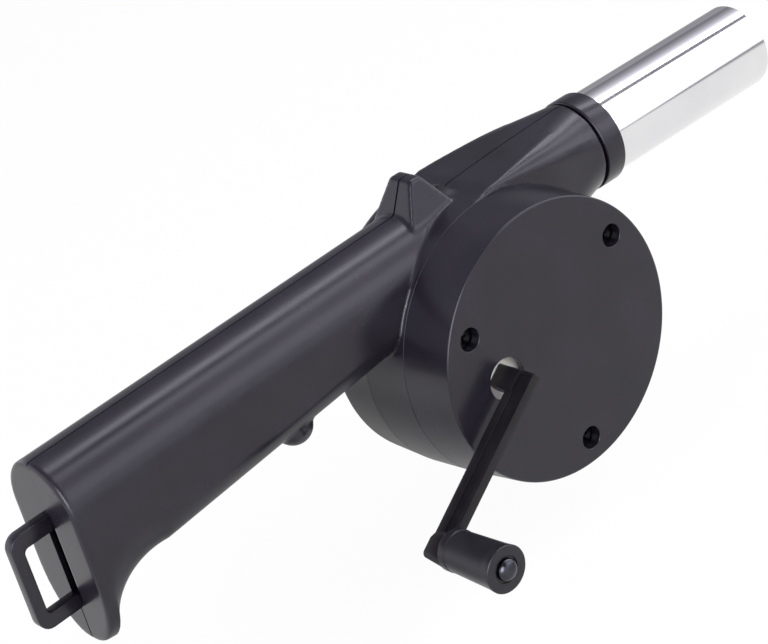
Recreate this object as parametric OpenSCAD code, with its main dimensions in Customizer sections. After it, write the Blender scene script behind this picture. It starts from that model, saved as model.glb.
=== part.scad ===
// Hand-cranked barbecue blower. The nozzle points along +X, the crank is on the -Y side and +Z is up.
// The origin is the centre of the nozzle's mouth, on the plane where the two shells meet.
// Shapes are drawn about the fan axis and moved there by from_fan_axis().

/* [Drum and gear cover] */
// Diameter of the round gear cover
cover_d = 84; // [83:0.5:86]
// Depth of the gear cover in front of the shells
cover_depth = 18; // [18:0.5:20]
// Depth of each shell on its side of the parting plane
shell_depth = 17; // [17:0.5:18]
// How far the shells stand proud of the cover at the sides
drum_step = 1.6; // [1.5:0.1:2]
// How far the drum's axis lies below the fan axis
drum_drop = 0.5; // [0.3:0.1:0.8]
// Thickness of the plastic walls
wall = 2; // [1.8:0.1:2.2]

/* [Nozzle and duct] */
// Outside diameter of the metal tube
tube_d = 27; // [26:0.5:27.5]
// Sheet thickness of the metal tube
tube_wall = 0.6; // [0.5:0.1:1]
// Length of bare tube in front of the collar
tube_out = 66.5; // [50:0.5:90]
// Length of the collar's spigot inside the duct
spigot_len = 9; // [8:0.5:10]
// Height of the nozzle axis above the fan axis
nozzle_z = 32; // [31:0.5:33]
// Distance from the fan axis to the end of the plastic duct
duct_end_x = 50.5; // [49:0.5:56]
// Width of the collar round the root of the tube
collar_w = 7; // [5:0.5:9]

/* [Handle] */
// Width of the handle across the parting plane
handle_w = 31; // [29:0.5:32]
// Distance from the fan axis to the butt, along the handle
handle_len = 152.5; // [150:0.5:160]
// Rise of the handle's top line towards the nozzle, in degrees
handle_rise = 2.3; // [1.8:0.1:2.8]

/* [Crank] */
// Distance from the crank axis to the grip axis
crank_len = 50.5; // [45:0.5:56]
// Crank direction at rest, in degrees from +X in the XZ plane
crank_angle = -144.5; // [-180:0.5:180]
// Length of the turning grip
grip_len = 22; // [20:0.5:30]
// Diameter of the grip at its outer end
grip_d = 14; // [12:0.5:15]

/* [Gear train] */
// Module of all four gears
gear_m = 0.75; // [0.74:0.01:0.76]
// Teeth on the drive gear
drive_teeth = 40; // [39:1:41]
// Teeth on the large wheel of the idler
idler_teeth = 30; // [29:1:31]
// Teeth on the idler pinion and on the fan pinion
pinion_teeth = 10; // [10:1:11]

/* [Fan] */
// Diameter of the impeller
impeller_d = 66; // [60:1:70]
// Number of impeller blades
blade_count = 10; // [8:1:12]

/* [Hidden] */
$fn = 96;
eps = 0.01;
far = 400;

// Radii and planes of the drum. A depth is measured from the parting plane towards the crank.
cover_r = cover_d / 2;
drum_r = cover_r + drum_step;
face_depth = shell_depth + cover_depth;
plate = 2.2;
plate_back = face_depth - plate;
cavity_r = drum_r - wall;
cavity_depth = shell_depth - wall;
rear_round = 2;

// Nozzle, collar and duct
tube_r = tube_d / 2;
fit = 0.02;
collar_neck = 1;
collar_x = duct_end_x + collar_neck;
mouth_x = collar_x + collar_w + tube_out;
tube_x = collar_x + 1;
collar_r = tube_r + 1.3;
duct_end_r = tube_r + 0.9;
duct_from = -2;
duct_half = 16.8;
duct_top = 43.9;
duct_bottom = 14;
duct_lead = 1.1;
duct_crown = 1.4;
seat_x = duct_end_x - spigot_len;
spigot_r = tube_r - 0.8;
spigot_bore = tube_r - 2;
bead_x = duct_end_x - 4;
bead_w = 1;
bead_proud = 0.4;

// Handle: its top line passes above the fan axis at handle_top
handle_top = 44.9;
handle_r = handle_w / 2;
handle_h = 27.95;
handle_taper = 0.079;
corner_r = 8;
tip_corner = [14.5, 21.5];
flare_u = handle_len - 25.8;
flare_r = 22.6;
tip_drop = 18.6;
handle_in_u = 12;
bevel = 0.8;

// Screw places in the XZ plane, measured from the fan axis
lug_screw = [-11.6, 48.4];
keel_screw = [-77.1, 9.1];
butt_screw = [-138, 20];
shell_screw_places = [lug_screw, keel_screw, butt_screw];
cover_screw_r = 34.4;
cover_screw_angles = [35, 151, 273.5];

// Screws: the shank fills its thread hole
shank_r = 1.25;
cover_screw_head = 2.9;
cover_head_top = face_depth - 3.6;
cover_screw_len = 13;
shell_head_seat = 3.6;
shell_screw_len = 9;
head_h = 1.6;

// Gear train: the idler axis is where the two centre distances meet, below the fan axis
drive_at = [-21.4, -1];
fan_at = [0, 0];
drum_at = [0, -drum_drop];
stage_1 = gear_m * (drive_teeth + pinion_teeth) / 2;
stage_2 = gear_m * (idler_teeth + pinion_teeth) / 2;
idler_at = meeting_point(drive_at, fan_at, stage_1, stage_2);
shift = 0.4;
backlash = 0.12;
pressure = 20;
pin_r = 1.5;
run = 0.05;

// Gear layers, as depths in front of the parting plane
wheel_d0 = shell_depth + 1.35;
wheel_d1 = wheel_d0 + 4;
idler_end = face_depth - 5.45;
drive_d0 = shell_depth + 7.6;
drive_d1 = drive_d0 + 4.4;
hub_rim = plate_back - 0.4;
hub_end = plate_back - 1.2;
washer_t = 0.4;
post_top = drive_d0 - 0.05 - washer_t;

// Bushes and fan shaft
bush_r = 3;
bush_len = 4;
boss_r = 5.2;
wall_boss = shell_depth - bush_len - 0.8;
cover_bush = plate_back - bush_len;
shaft_front = plate_back - 0.2;
shaft_back = shell_depth - 0.7;

// Crank and grip, as depths in front of the parting plane
crank_hole_r = 6.3;
arm_d0 = face_depth + 2.6;
arm_d1 = arm_d0 + 7.6;
arm_w = 3;
arm_flange = 3;
block_w = 5.2;
block_from = -3.3;
block_to = 3.6;
block_chamfer = 0.5;
peg_w = 4.6;
peg_end = drive_d1 + 0.1;
grip_d0 = arm_d1 + washer_t + 0.05;
grip_d1 = grip_d0 + grip_len;
grip_pin_r = 1.6;
crank_end = drive_at + crank_len * [cos(crank_angle), sin(crank_angle)];

black = [0.07, 0.07, 0.08];
steel = [0.72, 0.73, 0.75];
white = [0.93, 0.93, 0.9];

// Placing

// Moves what is drawn about the fan axis into the part's frame
module from_fan_axis() translate([-mouth_x, 0, -nozzle_z]) children();

// Stands flat shapes up in the XZ plane at a depth, growing towards the crank side
module at_depth(depth) translate([0, -depth, 0]) rotate([90, 0, 0]) children();

// A round bar along Y between two depths
module bar(place, radius, from, to) at_depth(from) translate(place) cylinder(r = radius, h = to - from);

// A round ring along Y between two depths
module ring(place, radius, hole, from, to) at_depth(from) translate(place) difference() {
    cylinder(r = radius, h = to - from);
    translate([0, 0, -1]) cylinder(r = hole, h = to - from + 2);
}

// A point of the handle: u runs back from the fan axis, w is the height above the sloping top line
function on_handle(u, y, w) = [-u, y, handle_top - u * tan(handle_rise) + w];

// Moves to where the top line meets the butt
module at_butt() translate(on_handle(handle_len, 0, 0)) children();

// Geometry helpers

function angle_of(v) = atan2(v[1], v[0]);

// Where circles of radius ra about a and rb about b cross, on the lower side
function meeting_point(a, b, ra, rb) =
    let (d = norm(b - a), along = (b - a) / d, down = [along[1], -along[0]])
    let (t = (ra * ra - rb * rb + d * d) / (2 * d))
    a + t * along + sqrt(ra * ra - t * t) * down;

function arc(centre, radius, from, to, steps) =
    [for (i = [0:steps]) let (a = from + (to - from) * i / steps) centre + radius * [cos(a), sin(a)]];

// A quarter of an ellipse with radii across and up
function quarter(centre, radii, from) =
    [for (i = [0:8]) let (a = from + 90 * i / 8) centre + [radii[0] * cos(a), radii[1] * sin(a)]];

function mix(a, b, t) = a + (b - a) * t;

function ease(x, from, to) = let (t = max(0, min(1, (x - from) / (to - from)))) t * t * (3 - 2 * t);

// Closes a list of equal rings, ordered along +X, into one solid
module skin(rings) {
    n = len(rings[0]);
    last = len(rings) - 1;
    points = [for (r = rings) each r];
    sides = [for (i = [0:last - 1], j = [0:n - 1])
        let (a = i * n + j, b = i * n + (j + 1) % n)
        each [[a, a + n, b + n], [a, b + n, b]]];
    low = [for (j = [0:n - 1]) j];
    high = [for (j = [n - 1:-1:0]) last * n + j];
    polyhedron(points = points, faces = concat(sides, [low, high]), convexity = 6);
}

// Shell outline

// Height of the handle at a distance u behind the fan axis, with the hooked flare at its butt.
// The flare is an arc about a point below the handle, and inset moves the line inwards.
function handle_height(u, inset) =
    let (straight = handle_h + handle_taper * min(u, flare_u))
    let (past = u - flare_u, arc_r = flare_r + inset)
    let (drop = flare_r - sqrt(max(0, arc_r * arc_r - past * past)))
    straight + (past <= 0 ? -inset : min(drop, tip_drop - inset));

// Across and up radii of the lower corners, which grow towards the butt
function handle_corner(u) =
    mix([corner_r, corner_r], tip_corner, max(0, u - flare_u) / (handle_len - flare_u));

// One cross-section of the handle: a round top, flat sides and rounded lower corners
function handle_ring(u, half, top, height, corner) =
    let (low = half - corner[0])
    let (outline = concat(
        arc([0, -half - top], half, 0, 180, 20),
        quarter([-low, -height + corner[1]], corner, 180),
        quarter([low, -height + corner[1]], corner, 270)))
    [for (p = outline) on_handle(u, p[0], p[1])];

// Distances along the handle where it has a cross-section, closer together in the flare
flare_steps = 8;
function handle_stations(from, to) =
    concat([to], [for (i = [flare_steps:-1:0]) flare_u + flare_r * sin(90 * i / flare_steps)], [from]);

module handle_outer(half = handle_r) skin(concat(
    [handle_ring(handle_len, half - bevel, bevel, handle_height(handle_len, bevel),
                 handle_corner(handle_len) - [bevel, bevel])],
    [for (u = handle_stations(0, handle_len - bevel))
        handle_ring(u, half, 0, handle_height(u, 0), handle_corner(u))]));

module handle_inner() skin(
    [for (u = handle_stations(handle_in_u, handle_len - wall))
        handle_ring(u, handle_r - wall, wall, handle_height(u, wall), handle_corner(u) - [wall, wall])]);

// The duct runs from an upright rectangle inside the drum to a circle at the collar
// One cross-section of the duct: a rounded rectangle
function duct_ring(x, half, top, bottom, corner) =
    let (side = half - corner, high = top - corner, low = bottom + corner)
    [for (p = concat(
        arc([side, high], corner, 0, 90, 8), arc([-side, high], corner, 90, 180, 8),
        arc([-side, low], corner, 180, 270, 8), arc([side, low], corner, 270, 360, 8)))
        [x, p[0], p[1]]];

duct_steps = 10;
module duct_solid(inset, end_x, end_r) skin([for (i = [0:duct_steps])
    let (x = mix(duct_from, end_x, i / duct_steps), t = x / end_x)
    let (lead = duct_lead * (1 - ease(x, duct_from, 5)))
    duct_ring(x,
        mix(duct_half - inset, end_r, ease(x, end_x / 2, end_x)),
        mix(duct_top - inset, nozzle_z + end_r, t) + duct_crown * t * (1 - t) - lead,
        mix(duct_bottom + inset, nozzle_z - end_r, t),
        mix(1.5, end_r - eps, pow(max(0, i / duct_steps * 1.12 - 0.12), 1.25)))]);

// The screw lug on the top is a low pyramid with a cut top
lug_base = [-19.1, -4];
lug_top = [-13.6, -9.5];
lug_z0 = 40;
lug_z1 = 53.2;
lug_half_base = 9.6;
lug_half_top = 4.6;
module lug() intersection() {
    rotate([90, 0, 0]) linear_extrude(2 * lug_half_base, center = true)
        polygon([[lug_base[0] - 2.4, lug_z0], [lug_base[1] + 2.4, lug_z0],
                 [lug_top[1], lug_z1], [lug_top[0], lug_z1]]);
    rotate([90, 0, 90]) linear_extrude(far, center = true)
        polygon([[-lug_half_base, lug_z0], [lug_half_base, lug_z0],
                 [lug_half_top, lug_z1], [-lug_half_top, lug_z1]]);
}

// The round keel under the handle holds the middle screw
keel_r = 5.8;
keel_front = 8;
module keel() {
    bar(keel_screw, keel_r, -handle_r + 1.2, keel_front);
    translate([keel_screw[0], -keel_front, keel_screw[1]]) sphere(r = keel_r);
}

// Lathed shapes about the drum's axis: each point is [radius, depth]
module drum_lathe(profile) translate([drum_at[0], 0, drum_at[1]]) rotate([90, 0, 0])
    rotate_extrude() polygon(profile);

module drum() drum_lathe(concat([[0, -shell_depth]],
    arc([drum_r - rear_round, rear_round - shell_depth], rear_round, -90, 0, 8),
    [[drum_r, shell_depth], [0, shell_depth]]));

// A sloping web that blends the handle's sides into the rim of the drum
web_out = 2.5;
module rim_web() intersection() {
    drum_lathe([
        [drum_r - rear_round, -shell_depth], [drum_r + web_out, -handle_r],
        [drum_r + web_out, handle_r], [drum_r, shell_depth], [drum_r - rear_round, shell_depth]]);
    handle_outer(shell_depth);
}

module body_outer() {
    drum();
    handle_outer();
    duct_solid(0, duct_end_x, duct_end_r);
    lug();
    keel();
    rim_web();
}

// The fan's space, the duct's passage, and the seat of the collar's spigot with its bead
module fan_chamber() {
    bar(drum_at, cavity_r, -cavity_depth, cavity_depth);
    duct_solid(wall, seat_x + 0.5, spigot_bore);
    translate([seat_x, 0, nozzle_z]) rotate([0, 90, 0]) cylinder(r = spigot_r + fit, h = spigot_len + 1);
    translate([bead_x - fit, 0, nozzle_z]) rotate([0, 90, 0])
        cylinder(r = spigot_r + bead_proud + fit, h = bead_w + 2 * fit);
}

module handle_chamber() difference() {
    handle_inner();
    bar(drum_at, drum_r, -far, far);
    translate([-drum_r * 0.6, -far / 2, 0]) cube(far);
}

// Slots in the butt wall that hold the feet of the hanging loop
loop_t = 3.6;
loop_out = 13.6;
loop_lo = -45.1;
loop_hi = -15.5;
loop_foot = 3;
loop_bar = 3.6;
loop_top_bar = 4.8;
loop_low_bar = 4.3;
foot_depth = 3.2;
module loop_feet(gap) at_butt() for (w = [loop_lo + 0.7, loop_hi - loop_top_bar + 0.9])
    translate([-eps, -loop_t / 2 - gap, w - gap])
        cube([foot_depth + eps, loop_t + 2 * gap, loop_foot + 2 * gap]);

// What both shells have: the hollow body with its screw posts, cut later at the parting plane
module hollow_body() {
    difference() {
        body_outer();
        fan_chamber();
        handle_chamber();
    }
    post_to = handle_r - wall / 2;
    bar(butt_screw, 5, -post_to, post_to);
    bar(keel_screw, 5, -post_to, keel_front);
}

module front_half() translate([-far / 2, -far, -far / 2]) cube(far);
module rear_half() translate([-far / 2, 0, -far / 2]) cube(far);

module front_shell() color(black) from_fan_axis() difference() {
    union() {
        intersection() {
            hollow_body();
            front_half();
        }
        bar(fan_at, boss_r, wall_boss, shell_depth);
        bar(drive_at, 4, wall_boss - 0.2, cavity_depth);
        bar(idler_at, 4, wall_boss - 0.2, cavity_depth);
        bar(drive_at, 3.2, shell_depth - eps, post_top);
        bar(idler_at, 3, shell_depth - eps, wheel_d0 - 0.05 - washer_t);
        for (a = cover_screw_angles)
            bar(cover_screw_r * [cos(a), sin(a)], 3.3, shell_depth - eps, shell_depth + 5);
        ring(fan_at, cover_r - wall - 0.1, cover_r - wall - 1.3, shell_depth - eps, shell_depth + 1.5);
    }
    bar(fan_at, bush_r, shell_depth - bush_len, shell_depth + 1);
    bar(fan_at, pin_r + 0.6, wall_boss - 1, shell_depth);
    bar(drive_at, pin_r, wall_boss + 0.4, face_depth);
    bar(idler_at, pin_r, wall_boss + 0.4, face_depth);
    for (a = cover_screw_angles)
        bar(cover_screw_r * [cos(a), sin(a)], shank_r + fit, cavity_depth + 0.6, face_depth);
    for (p = shell_screw_places) bar(p, shank_r + fit, -1, shell_screw_len - shell_head_seat + 0.2);
    loop_feet(fit);
}

inlet_slots = 10;
slot_w = 3.6;
slot_r0 = 9;
slot_r1 = 27;
module rear_shell() color(black) from_fan_axis() difference() {
    union() {
        intersection() {
            hollow_body();
            rear_half();
        }
        bar(fan_at, boss_r, -shell_depth, -shell_depth + bush_len + 0.5);
    }
    bar(fan_at, bush_r, -shell_depth + 0.5, 0);
    for (i = [0:inlet_slots - 1]) rotate([0, 360 * i / inlet_slots, 0]) {
        translate([slot_r0, cavity_depth - 1, -slot_w / 2]) cube([slot_r1 - slot_r0, wall + 2, slot_w]);
        for (r = [slot_r0, slot_r1]) bar([r, 0], slot_w / 2, -shell_depth - 1, -cavity_depth + 1);
    }
    for (p = shell_screw_places) {
        bar(p, shank_r + 0.2, -far / 4, 1);
        bar(p, cover_screw_head + 0.2, -far / 4, -shell_head_seat);
    }
    loop_feet(fit);
}

screw_boss_r = 3.3;
screw_head_boss_r = 4.8;
module gear_cover() color(black) from_fan_axis() difference() {
    union() {
        difference() {
            bar(fan_at, cover_r, shell_depth, face_depth);
            bar(fan_at, cover_r - wall, shell_depth - 1, plate_back);
        }
        for (a = cover_screw_angles) let (p = cover_screw_r * [cos(a), sin(a)]) {
            bar(p, screw_boss_r, shell_depth + 5, plate_back + eps);
            bar(p, screw_head_boss_r, drive_d1 + 0.3, plate_back + eps);
        }
        bar(fan_at, boss_r, cover_bush - 0.2, plate_back + eps);
        bar(idler_at, 4, idler_end + washer_t + 0.25, plate_back + eps);
    }
    for (a = cover_screw_angles) let (p = cover_screw_r * [cos(a), sin(a)]) {
        bar(p, shank_r + 0.2, shell_depth, face_depth);
        bar(p, 3.4, cover_head_top - head_h, face_depth + 1);
    }
    bar(drive_at, crank_hole_r, plate_back - 1, face_depth + 1);
    bar(fan_at, bush_r, shell_depth, plate_back);
    bar(idler_at, pin_r + fit, shell_depth, plate_back - 0.6);
    rotate([90, 0, 0]) translate([0, 0, face_depth]) rotate_extrude()
        polygon([[cover_r - 0.5, 0.1], [cover_r + 0.1, 0.1], [cover_r + 0.1, -0.5]]);
}

// Nozzle

// Lathed shapes about the nozzle axis: each point is [distance along X from the fan axis, radius]
module nozzle_lathe(profile) translate([0, 0, nozzle_z]) rotate([0, 90, 0])
    rotate_extrude($fn = 128) polygon([for (p = profile) [p[1], p[0]]]);

module nozzle_tube() color(steel) from_fan_axis() nozzle_lathe([
    [tube_x, tube_r - tube_wall], [mouth_x, tube_r - tube_wall], [mouth_x, tube_r], [tube_x, tube_r]]);

module nozzle_collar() color(black) from_fan_axis() nozzle_lathe([
    [seat_x, spigot_bore], [tube_x, spigot_bore], [tube_x, tube_r + fit], [collar_x + collar_w, tube_r + fit],
    [collar_x + collar_w, collar_r - 0.4], [collar_x + collar_w - 0.4, collar_r],
    [collar_x + 0.4, collar_r], [collar_x, collar_r - 0.4], [collar_x, spigot_r],
    [bead_x + bead_w, spigot_r], [bead_x + bead_w, spigot_r + bead_proud],
    [bead_x, spigot_r + bead_proud], [bead_x, spigot_r], [seat_x, spigot_r]]);

// A rectangle with round outer corners, sheared to the handle's slope; the butt is at x = 0
module loop_outline(out, lo, hi, corner) polygon([for (p = concat(
    [[0, lo]], arc([corner - out, lo + corner], corner, 270, 180, 6),
    arc([corner - out, hi - corner], corner, 180, 90, 6), [[0, hi]]))
    [p[0], p[1] + p[0] * tan(handle_rise)]]);

module hanging_loop() color(black) from_fan_axis() {
    at_butt() rotate([90, 0, 0]) linear_extrude(loop_t, center = true) difference() {
        loop_outline(loop_out, loop_lo, loop_hi, 4);
        loop_outline(loop_out - loop_bar, loop_lo + loop_low_bar, loop_hi - loop_top_bar, 1.5);
    }
    loop_feet(0);
}

// Fasteners, bushes, pins and washers

// A pan-head screw along Y: the head's top is at depth top, the shank runs back from it
module cover_screw(place) {
    difference() {
        bar(place, cover_screw_head, cover_head_top - head_h, cover_head_top);
        cross_slot(place, cover_head_top);
    }
    bar(place, shank_r, cover_head_top - head_h - cover_screw_len + 1, cover_head_top - head_h);
}

slot_depth = 0.9;
module cross_slot(place, depth) at_depth(depth - slot_depth) translate(place) for (a = [0, 90])
    rotate([0, 0, a]) translate([-1.6, -0.4, 0]) cube([3.2, 0.8, slot_depth + 1]);

module cover_screws() color(steel) from_fan_axis()
    for (a = cover_screw_angles) cover_screw(cover_screw_r * [cos(a), sin(a)]);

module shell_screws() color(steel) from_fan_axis() for (p = shell_screw_places) {
    difference() {
        bar(p, cover_screw_head, -shell_head_seat - head_h, -shell_head_seat);
        mirror([0, 1, 0]) cross_slot(p, shell_head_seat + head_h);
    }
    bar(p, shank_r, -shell_head_seat, shell_screw_len - shell_head_seat);
}

module shaft_bushes() color([0.7, 0.5, 0.3]) from_fan_axis()
    for (from = [cover_bush, shell_depth - bush_len, -shell_depth + 0.5])
        ring(fan_at, bush_r, pin_r + run, from, from + bush_len);

module drive_pin() color(steel) from_fan_axis() bar(drive_at, pin_r, wall_boss + 0.4, drive_d1 - 0.9);

module idler_pin() color(steel) from_fan_axis() bar(idler_at, pin_r, wall_boss + 0.4, plate_back - 0.8);

module idler_washers() color(steel) from_fan_axis()
    for (from = [wheel_d0 - 0.05 - washer_t, idler_end + 0.05])
        ring(idler_at, 3, pin_r + run, from, from + washer_t);

module drive_washer() color(steel) from_fan_axis()
    ring(drive_at, 3.2, pin_r + run, post_top, post_top + washer_t);

// Gears

function inv_deg(a) = tan(a) - a * PI / 180;

// Half of a tooth's angle at radius r, for pitch radius rp and base radius rb
function half_tooth(r, rp, rb, thickness) =
    let (at = acos(min(1, rb / max(r, rb))))
    thickness / 2 / rp * 180 / PI + (inv_deg(pressure) - inv_deg(at)) * 180 / PI;

// Outline of an involute gear with a tooth centred on +X
flank_steps = 5;
function gear_outline(teeth, x, tip) =
    let (rp = gear_m * teeth / 2, rb = rp * cos(pressure), root = rp - gear_m * (1.25 - x))
    let (ra = rp + gear_m * tip, start = max(root, rb))
    let (thick = gear_m * (PI / 2 + 2 * x * tan(pressure)) - backlash)
    let (radii = concat(root < rb ? [root] : [],
        [for (i = [0:flank_steps]) start + (ra - start) * i / flank_steps]))
    [for (t = [0:teeth - 1], side = [-1, 1], i = [0:len(radii) - 1])
        let (r = radii[side < 0 ? i : len(radii) - 1 - i])
        let (a = 360 * t / teeth + side * half_tooth(r, rp, rb, thick))
        r * [cos(a), sin(a)]];

wheel_tip = 1 - shift;
pinion_tip = 1.27;
module wheel_2d(teeth) polygon(gear_outline(teeth, -shift, wheel_tip));
module pinion_2d() polygon(gear_outline(pinion_teeth, shift, pinion_tip));

// A gear between two depths, turned so that a tooth (or with gap set, a gap) points along an angle
module toothed(place, aim, from, to) at_depth(from) translate(place) rotate([0, 0, aim])
    linear_extrude(to - from) children();

half_gap = 180 / pinion_teeth;

module drive_gear() color(white) from_fan_axis() difference() {
    union() {
        toothed(drive_at, angle_of(idler_at - drive_at), drive_d0, drive_d1) wheel_2d(drive_teeth);
        bar(drive_at, 8, drive_d1 - eps, hub_rim);
    }
    bar(drive_at, 6.8, hub_end, hub_rim + 1);
    bar(drive_at, pin_r + run, drive_d0 - 1, drive_d1 - 0.6);
    at_depth(peg_end - 0.1) translate(drive_at) rotate([0, 0, crank_angle])
        translate([-peg_w / 2, -peg_w / 2, 0]) cube([peg_w, peg_w, face_depth]);
    ring(drive_at, 13, 8.6, drive_d1 - 1.2, drive_d1 + 1);
}

module idler_gear() color(white) from_fan_axis() difference() {
    union() {
        toothed(idler_at, angle_of(fan_at - idler_at), wheel_d0, wheel_d1) wheel_2d(idler_teeth);
        toothed(idler_at, angle_of(drive_at - idler_at) + half_gap, wheel_d1 - eps, idler_end)
            pinion_2d();
    }
    bar(idler_at, pin_r + run, 0, face_depth);
}

module fan_pinion() color([0.8, 0.65, 0.3]) from_fan_axis() difference() {
    toothed(fan_at, angle_of(idler_at - fan_at) + half_gap, wheel_d0 - 0.4, wheel_d1 + 0.4) pinion_2d();
    bar(fan_at, pin_r, 0, face_depth);
}

// Fan

clip_t = 0.5;
front_clip = shell_depth + 0.15;
rear_clip = -shell_depth + bush_len + 0.5 + 0.2;
module fan_shaft() color(steel) from_fan_axis() difference() {
    bar(fan_at, pin_r, -shaft_back, shaft_front);
    for (from = [front_clip, rear_clip]) ring(fan_at, pin_r + 1, pin_r - 0.3, from, from + clip_t);
}

module shaft_clips() color(steel) from_fan_axis() for (from = [front_clip, rear_clip]) difference() {
    ring(fan_at, 3.2, pin_r - 0.3, from, from + clip_t);
    at_depth(from - 1) translate([0, -0.9, 0]) cube([5, 1.8, 3]);
}

// One curved blade: a sickle between two arcs, from the hub ring to the rim
fan_front = 11;
fan_back = -11.5;
blade_in_r = 9;
blade_t = 1.2;
blade_sweep = 22;
function blade_line(r) =
    let (a = blade_sweep * (r - blade_in_r) / (impeller_d / 2 - blade_in_r)) r * [cos(a), sin(a)];
blade_steps = 6;
module blade_2d() polygon(concat(
    [for (i = [0:blade_steps]) blade_line(blade_in_r + (impeller_d / 2 - blade_in_r) * i / blade_steps)],
    [for (i = [blade_steps:-1:0])
        blade_line(blade_in_r + (impeller_d / 2 - blade_in_r) * i / blade_steps) + [0, blade_t]]));

module impeller() color([0.12, 0.12, 0.13]) from_fan_axis() difference() {
    union() {
        bar(fan_at, impeller_d / 2, fan_front - 1.5, fan_front);
        bar(fan_at, 5, -6, fan_front);
        at_depth(fan_back) for (i = [0:blade_count - 1]) rotate([0, 0, 360 * i / blade_count])
            linear_extrude(fan_front - fan_back - 1) blade_2d();
    }
    bar(fan_at, pin_r, fan_back - 1, fan_front + 1);
}

module impeller_nut() color(steel) from_fan_axis() ring(fan_at, 4, pin_r, -6.7, -6);

// Crank

groove_deep = 0.9;
front_flange = 1;
arm_tail = 3.4;
pin_end = 6;
pin_end_slope = 0.8;
pin_block_w = 4.8;
pin_block_from = crank_len - 2.5;

// Moves into the crank's own frame at a depth: x runs from the crank axis to the grip axis
module on_crank(depth) at_depth(depth) translate(drive_at) rotate([0, 0, crank_angle]) children();

module crank_arm() color(black) from_fan_axis() difference() {
    arm_h = arm_d1 - arm_d0;
    union() {
        on_crank(arm_d0) {
            translate([-arm_tail, -arm_w / 2, 0]) cube([crank_len + arm_tail, arm_w, arm_h]);
            intersection() {
                linear_extrude(arm_h) pin_block_2d();
                rotate([90, 0, 0]) linear_extrude(far, center = true) polygon([
                    [0, 0], [crank_len + pin_end - pin_end_slope, 0],
                    [crank_len + pin_end, arm_h], [0, arm_h]]);
            }
        }
        on_crank(hub_end + 0.05) linear_extrude(arm_d0 + arm_flange - hub_end - 0.05) block_2d();
        on_crank(peg_end) translate([-peg_w / 2, -peg_w / 2, 0])
            cube([peg_w, peg_w, hub_end - peg_end + 1]);
    }
    bar(crank_end, grip_pin_r, arm_d0 - 1, arm_d1 + 1);
    on_crank(arm_d0 + arm_flange) for (s = [-1, 1])
        translate([1 - arm_tail, s * arm_w / 2 - groove_deep, 0])
            cube([pin_block_from + arm_tail - 2, 2 * groove_deep, arm_h - arm_flange - front_flange]);
}

// The thicker end of the arm that holds the grip pin
module pin_block_2d() {
    corner = 0.9;
    to = crank_len + pin_end;
    half = pin_block_w / 2;
    ramp = 2;
    polygon(concat([[pin_block_from, 0.1 - arm_w / 2], [pin_block_from + ramp, -half]],
        arc([to - corner, corner - half], corner, -90, 0, 6),
        arc([to - corner, half - corner], corner, 0, 90, 6),
        [[pin_block_from + ramp, half], [pin_block_from, arm_w / 2 - 0.1]]));
}

// The block at the hub, longer along the arm than across it
module block_2d() {
    h = block_w / 2;
    c = block_chamfer;
    polygon([[block_from + c, -h], [block_to - c, -h], [block_to, c - h], [block_to, h - c],
             [block_to - c, h], [block_from + c, h], [block_from, h - c], [block_from, c - h]]);
}

// The grip pin: a shank with a domed head that stands in the hollow of the grip's end
head_r = 3.2;
head_rise = 1.9;
hollow_r = 4.3;
hollow_deep = 0.8;
module grip_pin() color(steel) from_fan_axis() difference() {
    union() {
        bar(crank_end, grip_pin_r, arm_d0, grip_d1);
        at_depth(grip_d1 - hollow_deep + 0.3) translate(crank_end) rotate_extrude()
            polygon(concat([[0, 0], [head_r, 0]],
                [for (i = [1:6]) [head_r * cos(15 * i), 0.7 + (head_rise - 0.7) * sin(15 * i)]]));
    }
    cross_slot(crank_end, grip_d1 - hollow_deep + 0.3 + head_rise);
}

module grip_washer() color(steel) from_fan_axis()
    ring(crank_end, 4.4, grip_pin_r + fit, arm_d1, arm_d1 + washer_t);

// The grip widens towards its outer end, with a low rim at each end and a hollow round the pin's head
rim_proud = 0.5;
neck_r = 5.7;
module crank_grip() color(black) from_fan_axis() at_depth(grip_d0) translate(crank_end) rotate_extrude() {
    outer = grip_d / 2;
    hole = grip_pin_r + 0.06;
    polygon([[hole, 0], [neck_r + 0.1, 0], [neck_r + rim_proud, 0.4], [neck_r + rim_proud, 2.4],
             [neck_r, 3.4], [outer - 0.7, grip_len - 3.6], [outer, grip_len - 1.6], [outer, grip_len - 0.5],
             [outer - 0.5, grip_len], [hollow_r, grip_len], [hollow_r, grip_len - hollow_deep],
             [hole, grip_len - hollow_deep]]);
}

front_shell();
rear_shell();
gear_cover();
nozzle_tube();
nozzle_collar();
hanging_loop();
cover_screws();
shell_screws();
shaft_bushes();
drive_pin();
idler_pin();
idler_washers();
drive_washer();
drive_gear();
crank_arm();
grip_pin();
grip_washer();
crank_grip();
idler_gear();
fan_shaft();
fan_pinion();
impeller();
impeller_nut();
shaft_clips();
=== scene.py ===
"""Manual barbecue blower: moulded plastic body, polished steel tube and a hand crank."""

import math

import bmesh
import bpy
import numpy as np
from mathutils import Matrix, Vector
from mathutils.geometry import delaunay_2d_cdt


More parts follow.
